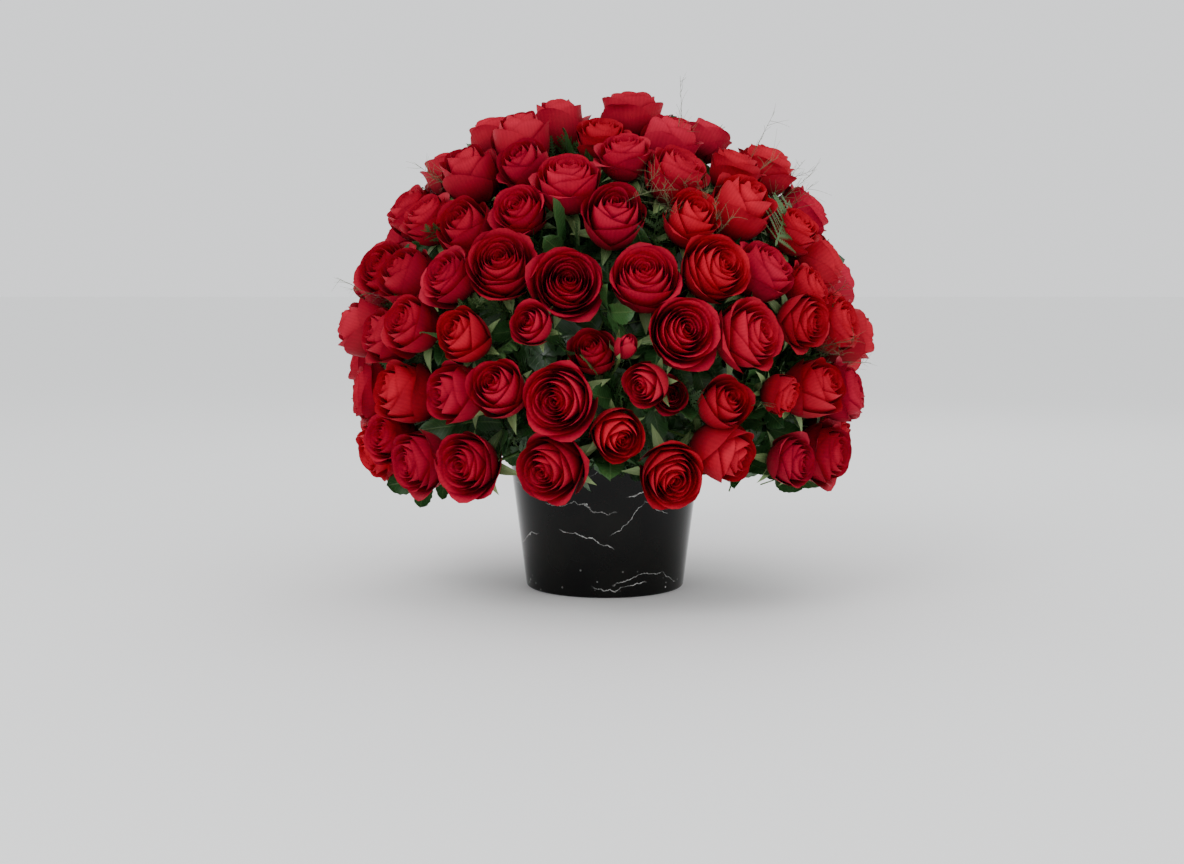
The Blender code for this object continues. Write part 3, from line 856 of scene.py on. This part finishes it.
def open_out(blooms, rng):
    """Lets each bloom open until it presses on a neighbour, and stand a little in or out."""
    spots = np.array([b["spot"] for b in blooms])
    sizes = np.array([b["size"] for b in blooms])
    gaps = np.linalg.norm(spots[:, None] - spots[None], axis=2) + 10.0 * np.eye(len(blooms))
    room = (PRESSED * gaps / (sizes[:, None] + sizes[None])).min(axis=1)
    for bloom, share in zip(blooms, room):
        bloom["size"] *= float(np.clip(share, 1.0, MOST_GROWTH[bloom["kind"]]))
        bloom["spot"] = bloom["spot"] + bloom["facing"] * rng.uniform(*PROUD)


def spread_ways(count, lowest):
    """Directions spread evenly over the dome, down to an elevation in degrees."""
    floor_z = math.sin(math.radians(lowest))
    found = []
    for index in range(count):
        z = 1 - (1 - floor_z) * (index + 0.5) / count
        level = math.sqrt(1 - z * z)
        turn = index * GOLDEN
        found.append(Vector((level * math.cos(turn), level * math.sin(turn), z)))
    return found


def open_gap(way, blooms):
    """How far a direction lies outside the nearest bloom, in radians; negative inside one."""
    least = math.pi
    for bloom in blooms:
        arm = bloom["spot"] - DOME
        least = min(least, way.angle(arm) - bloom["size"] / arm.length)
    return least


def tucked_blooms(blooms):
    """Half-hidden roses of the same stems, set back in the gaps between the others."""
    found = []
    reach = SHELL - TUCKED_DEPTH
    for way in spread_ways(TUCKED_TRIES, TUCKED_LOWEST):
        gap = open_gap(way, blooms + found)
        if gap > TUCKED_GAP:
            size = float(np.clip(gap * reach * 1.25, *TUCKED_SIZES))
            spot = DOME + way * reach
            bloom = {"node": None, "spot": spot, "facing": (spot - HEART).normalized()}
            found.append({**bloom, "kind": "small", "size": size})
    return found


def shape_of(kind, rng):
    """How far a bloom of a kind is open."""
    chance = rng.uniform()
    if kind == "bud":
        return "bud"
    if kind == "large":
        return "open" if chance < 0.72 else "half"
    return "open" if chance < 0.45 else "half"


# a stem's radius at its foot and under the bloom
STEM_RADII = (2.2 * MM, 1.5 * MM)
STEM_STOPS = 12


def add_bloom(sheets, stems, rng, bloom, foot, way):
    """One rose on its stem."""
    shape = shape_of(bloom["kind"], rng)
    size = bloom["size"] * rng.uniform(0.96, 1.05)
    facing = (bloom["facing"] + Vector(rng.normal(0, SWAY, 3))).normalized()
    root = bloom["spot"] - facing * size * SHAPES[shape]["high"] * 0.97
    matrix = looking(root, facing, float(rng.uniform(0, math.tau)))
    add_petals(sheets, rng, size, shape, matrix)
    add_calyx(sheets, rng, size, shape, matrix)
    neck = root - facing * max(size, LEAST_HIP) * HIP_NECK
    path = curve_points(foot, way, neck, facing, STEM_STOPS)
    add_tube(stems, path, np.linspace(*STEM_RADII, STEM_STOPS), chance=float(rng.uniform()))


def build_blooms(blooms, rng):
    """One piece for every CAD rose or spray, and one tube mesh for all their stems."""
    stems = Sheets()
    for number, name in enumerate(sorted({b["node"] for b in blooms})):
        sheets = Sheets()
        foot, way = stem_foot(NODES[name])
        for bloom in blooms:
            if bloom["node"] == name:
                add_bloom(sheets, stems, rng, bloom, foot, way)
        label = name + "_blooms"
        piece = add_object(label, sheets.mesh(label, [PETALS[number % 3], SEPAL]))
        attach(piece, INSERT)
        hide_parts(name)
    return stems


def build_tucked(tucked, stems, rng):
    """The half-hidden roses, gathered by the eighth of the dome that they stand in."""
    eighths = {}
    for bloom in tucked:
        turn = math.atan2(bloom["spot"].y, bloom["spot"].x)
        eighths.setdefault(int((turn + math.pi) / math.tau * 8) % 8, []).append(bloom)
    for number in sorted(eighths):
        sheets = Sheets()
        for bloom in eighths[number]:
            way = (bloom["spot"] - HEART).normalized()
            add_bloom(sheets, stems, rng, bloom, HEART + way * SOCKET_DEPTH, way)
        label = "tucked_blooms_%d" % (number + 1)
        piece = add_object(label, sheets.mesh(label, [PETALS[number % 3], SEPAL]))
        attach(piece, INSERT)


def dress(piece, label, *nodes):
    """Puts a green piece on the insert, for the CAD nodes that it stands for."""
    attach(piece, INSERT)
    if nodes:
        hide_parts(*nodes)


def own_course(name, length):
    """For a CAD blade: the foot of its stem, where a blade of a length starts, and its direction."""
    points = np.array([v.co for v in NODES[name].data.vertices])
    gaps = np.linalg.norm(points - np.array(HEART), axis=1)
    tip, foot = Vector(points[gaps.argmax()]), Vector(points[gaps.argmin()])
    along = (tip - foot).normalized()
    return foot, tip - along * length, along


def build_own_leaf(name, rng, stems):
    """A rose leaf in the place of a CAD leaf."""
    foot, start, along = own_course(name, OWN_LEAF)
    leaves = Sheets()
    matrix = leafing(start, along, Vector((0, 0, 1)) - along * 0.3)
    add_leaf(leaves, stems, rng, matrix, OWN_LEAF)
    add_tube(stems, curve_points(foot, along, start, along, 8), np.full(8, 1.6 * MM))
    dress(add_object(name + "_leaflets", leaves.mesh(name + "_leaflets", [LEAF])), "leaf", name)


def build_own_frond(name, rng, stems):
    """A fern frond in the place of a CAD frond."""
    foot, start, along = own_course(name, OWN_FROND)
    fronds = Ferns()
    fronds.frond(rng, leafing(start, along, Vector((0.3, -1, 0.4))), OWN_FROND)
    add_tube(stems, curve_points(foot, along, start, along, 8), np.full(8, 1.2 * MM))
    dress(fronds.build(name + "_frond", [FERN]), "fern", name)


def depth_at(gap, depths):
    """How far under the dome's skin a tip ends, for the gap that it stands in."""
    return next(depth for least, depth in depths if gap > least)


def build_leaves(blooms, rng, stems):
    """Rose leaves between the blooms and, larger and lying flat, under them."""
    leaves = Sheets()
    for way in spread_ways(LEAVES_BETWEEN, GREENS_LOWEST):
        depth = depth_at(open_gap(way, blooms), LEAF_DEPTHS)
        length = rng.uniform(60, 84) * MM
        sway = Vector(rng.normal(0, 0.55, 3))
        along = (way + sway - way * sway.dot(way)).normalized()
        tip = DOME + way * (SHELL - depth + rng.uniform(-6, 4) * MM)
        face = Vector(rng.normal(0, 1, 3)).cross(along) + way * 0.4
        add_leaf(leaves, stems, rng, leafing(tip - along * length, along, face), length)
    for way in spread_ways(LEAVES_UNDER, GREENS_LOWEST):
        length = rng.uniform(80, 105) * MM
        along = Vector(rng.normal(0, 1, 3)).cross(way).normalized()
        middle = DOME + way * (SHELL - rng.uniform(*UNDER_DEPTHS))
        foot = middle - along * length * 0.5
        add_leaf(leaves, stems, rng, leafing(foot, along, way), length)
    dress(add_object("rose_leaves", leaves.mesh("rose_leaves", [LEAF])), "leaf")


def build_ferns(blooms, rng):
    """Fern fronds between the blooms."""
    fronds = Ferns()
    for way in spread_ways(FRONDS, GREENS_LOWEST):
        depth = depth_at(open_gap(way, blooms), FERN_DEPTHS)
        if way.z < HEM:
            depth = max(depth, HEM_DEPTH)
        length = rng.uniform(70, 105) * MM
        along = (way + Vector(rng.normal(0, 0.30, 3))).normalized()
        tip = DOME + way * (SHELL - depth + rng.uniform(-8, 8) * MM)
        fronds.frond(rng, leafing(tip - along * length, along, Vector(rng.normal(0, 1, 3))), length)
    dress(fronds.build("fern_fronds", [FERN]), "fern")


# fine pale wisps that stand out of the dome: azimuth from the front, elevation, and in mm how
# far past the dome's skin they end and how long they are
WISPS = (
    (16, 36, 2, 70),
    (24, 42, 4, 80),
    (30, 34, 2, 66),
    (12, 44, 2, 70),
    (34, 60, 6, 85),
    (60, 52, 7, 85),
    (66, 40, 6, 80),
    (84, 44, 2, 70),
    (72, 14, -7, 76),
    (80, 2, -11, 72),
    (58, 6, -2, 80),
    (-84, 12, 2, 72),
    (-60, 44, 8, 70),
    (130, 30, 8, 80),
    (170, 40, 8, 80),
    (-140, 24, 8, 80),
)
HAIRS = 16


def strand(sheets, rng, foot, along, length, radius, chance):
    """A hair-fine bent strand; returns its points."""
    bend = Vector(rng.normal(0, 0.35, 3)) - Vector((0, 0, 0.15))
    s = np.linspace(0, 1, 7)[:, None]
    path = np.array(foot) + np.array(along) * length * s + np.array(bend) * length * 0.5 * s**2
    add_tube(sheets, path, np.linspace(radius, radius * 0.35, 7), sides=3, chance=chance)
    return path


def build_wisps(rng):
    """Fine pale wisps: a hair-like stalk with finer hairs along its outer half."""
    sheets = Sheets()
    for azimuth, elevation, past, length in WISPS:
        turn, lift = math.radians(azimuth), math.radians(elevation)
        level = math.cos(lift)
        way = Vector((math.sin(turn) * level, -math.cos(turn) * level, math.sin(lift)))
        for _ in range(3):
            chance = float(rng.uniform())
            along = (way + Vector(rng.normal(0, 0.30, 3))).normalized()
            size = length * MM * rng.uniform(0.8, 1.1)
            foot = DOME + way * (SHELL + past * MM) - along * size
            path = strand(sheets, rng, foot, along, size, 0.45 * MM, chance)
            stops = np.linspace(0, 1, len(path))
            for hair in range(HAIRS):
                place = 0.40 + 0.60 * hair / HAIRS
                here = np.array([np.interp(place, stops, part) for part in path.T])
                lean = (along + Vector(rng.normal(0, 0.45, 3))).normalized()
                strand(sheets, rng, here, lean, size * rng.uniform(0.10, 0.30), 0.22 * MM, chance)
    dress(add_object("fern_wisps", sheets.mesh("fern_wisps", [WISP])), "fern")


# about the middle of the wall at the foot, and a height between the foot's rings and the floor's
POT_FOOT = 75 * MM
UNDER_FLOOR = 9 * MM
POT_TURN = 192


def pot_rings():
    """The CAD pot's rings as (radius, height): up its outside, and down its inside."""
    corners = [v.co for v in NODES["pot"].data.vertices]
    rings = {(round(math.hypot(co.x, co.y), 5), round(co.z, 5)) for co in corners}
    top = max(z for _, z in rings)
    crown = sorted(r for r, z in rings if z > top - 0.1 * MM)
    middle = (crown[0] + crown[-1]) / 2
    level = {z: sorted(r for r, height in rings if height == z) for _, z in rings}
    outer, inner = [], []
    for z in sorted(level):
        for r in level[z]:
            wall = POT_FOOT + (middle - POT_FOOT) * z / top
            side = outer if r > wall or z < UNDER_FLOOR else inner
            side.append((r, z))
    return outer, inner[::-1]


def rounded(one, corner, two, steps=6):
    """Points on a soft corner between two points."""
    found = []
    for step in range(steps + 1):
        s = step / steps
        rest = 1 - s
        point = (a * rest**2 + 2 * b * s * rest + c * s**2 for a, b, c in zip(one, corner, two))
        found.append(tuple(point))
    return found


def build_pot(material):
    """The stone pot turned finely on the CAD pot's own rings, with softened edges."""
    outer, inner = pot_rings()
    base, _, foot, shoulder, rim = outer
    lip, brim, toe, bed = inner
    profile = [(0.0, 0.0)]
    profile += rounded(base, (foot[0] - 0.4 * MM, 0.0), foot)
    profile += rounded(shoulder, (shoulder[0] + 0.2 * MM, rim[1]), rim)
    profile += rounded(lip, (brim[0] + 0.2 * MM, lip[1]), brim)
    profile += rounded(toe, (toe[0] - 0.4 * MM, bed[1]), bed)
    profile.append((0.0, bed[1]))
    turn = np.linspace(0, math.tau, POT_TURN, endpoint=False)
    r, z = np.array(profile).T[:, :, None] + 0 * turn
    points = np.stack((r * np.sin(turn), -r * np.cos(turn), z), axis=-1)
    sheets = Sheets()
    sheets.grid(points, 0 * z, z, 0.5, 0.5, closed=True)
    shell = add_object("pot_shell", sheets.mesh("pot_shell", [material]))
    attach(shell, POT_BODY)
    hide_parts("pot")


rng = np.random.default_rng(408)
blooms = read_blooms()
# the dome's skin: how far the roses' hearts stand from its middle
SHELL = max((bloom["spot"] - DOME).length for bloom in blooms)
open_out(blooms, rng)
tucked = tucked_blooms(blooms)
stems = build_blooms(blooms, rng)
build_tucked(tucked, stems, rng)
for name in ("leaf_1", "leaf_2"):
    build_own_leaf(name, rng, stems)
for name in ("fern_1", "fern_2", "fern_3"):
    build_own_frond(name, rng, stems)
build_leaves(blooms + tucked, rng, stems)
build_ferns(blooms + tucked, rng)
build_wisps(rng)
dress(add_object("rose_stems", stems.mesh("rose_stems", [STALK])), "leaf")

for name, material in (("liner", plastic_material()), ("foam", foam_material())):
    for entry in NODES[name].material_slots:
        entry.material = material
build_pot(marble_material())


# ---------------------------------------------------------------- stage
FLOOR_HALF = 60.0
HORIZON = (0.825, 0.835, 0.85)
CEILING = (0.84, 0.855, 0.87)
# name, place, target, size and power in watts
LAMPS = (
    ("key", (-1.1, -1.7, 1.9), (0, 0, 0.25), (1.2, 1.2), 24),
    ("fill", (1.8, -1.4, 0.9), (0, 0, 0.25), (0.7, 1.6), 9),
    ("rim", (0.6, 1.8, 1.6), (0, 0, 0.3), (1.2, 0.8), 8),
)
CAMERA_PLACE = (-0.013, -1.62, 0.2975)
CAMERA_DOWN = 5.05
CAMERA_LENS = 49.2


def build_floor():
    """A wide pale floor."""
    mesh = bpy.data.meshes.new("floor")
    signs = ((-1, -1), (1, -1), (1, 1), (-1, 1))
    corners = [(x * FLOOR_HALF, y * FLOOR_HALF, 0.0) for x, y in signs]
    mesh.from_pydata(corners, [], [(0, 1, 2, 3)])
    floor = add_object("floor", mesh)
    material, _, shader = new_material("pale_floor")
    shader.inputs["Base Color"].default_value = (0.90, 0.90, 0.895, 1.0)
    shader.inputs["Roughness"].default_value = 0.8
    shader.inputs["Specular IOR Level"].default_value = 0.2
    mesh.materials.append(material)
    floor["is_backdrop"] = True


def build_world():
    """Even pale light from all round."""
    world = bpy.data.worlds.new("studio")
    bpy.context.scene.world = world
    world.use_nodes = True
    tree = world.node_tree
    parts = tree.nodes.new("ShaderNodeSeparateXYZ")
    tree.links.new(tree.nodes.new("ShaderNodeTexCoord").outputs["Generated"], parts.inputs[0])
    glow = ramp(tree, parts.outputs[2], (0.0, HORIZON), (0.5, CEILING))
    background = tree.nodes["Background"]
    tree.links.new(glow, background.inputs["Color"])
    background.inputs["Strength"].default_value = 1.46


def lamp(name, place, target, size, power):
    """A soft area light aimed at a target."""
    data = bpy.data.lights.new(name, "AREA")
    data.shape = "RECTANGLE"
    data.size, data.size_y = size
    data.energy = power
    away = Vector(place) - Vector(target)
    add_object(name, data).matrix_world = looking(place, away, 0.0)


def build_camera():
    """The camera, a little above the pot's rim and tilted slightly down."""
    data = bpy.data.cameras.new("camera")
    data.lens = CAMERA_LENS
    data.sensor_width = 36.0
    camera = add_object("camera", data)
    camera.location = CAMERA_PLACE
    camera.rotation_euler = (math.radians(90 - CAMERA_DOWN), 0.0, 0.0)
    bpy.context.scene.camera = camera


build_floor()
build_world()
for values in LAMPS:
    lamp(*values)
build_camera()

low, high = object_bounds()
sizes = {"cad": (cad_low, cad_high), "visual": (low, high)}
plain = {name: [[float(x) for x in corner] for corner in box] for name, box in sizes.items()}
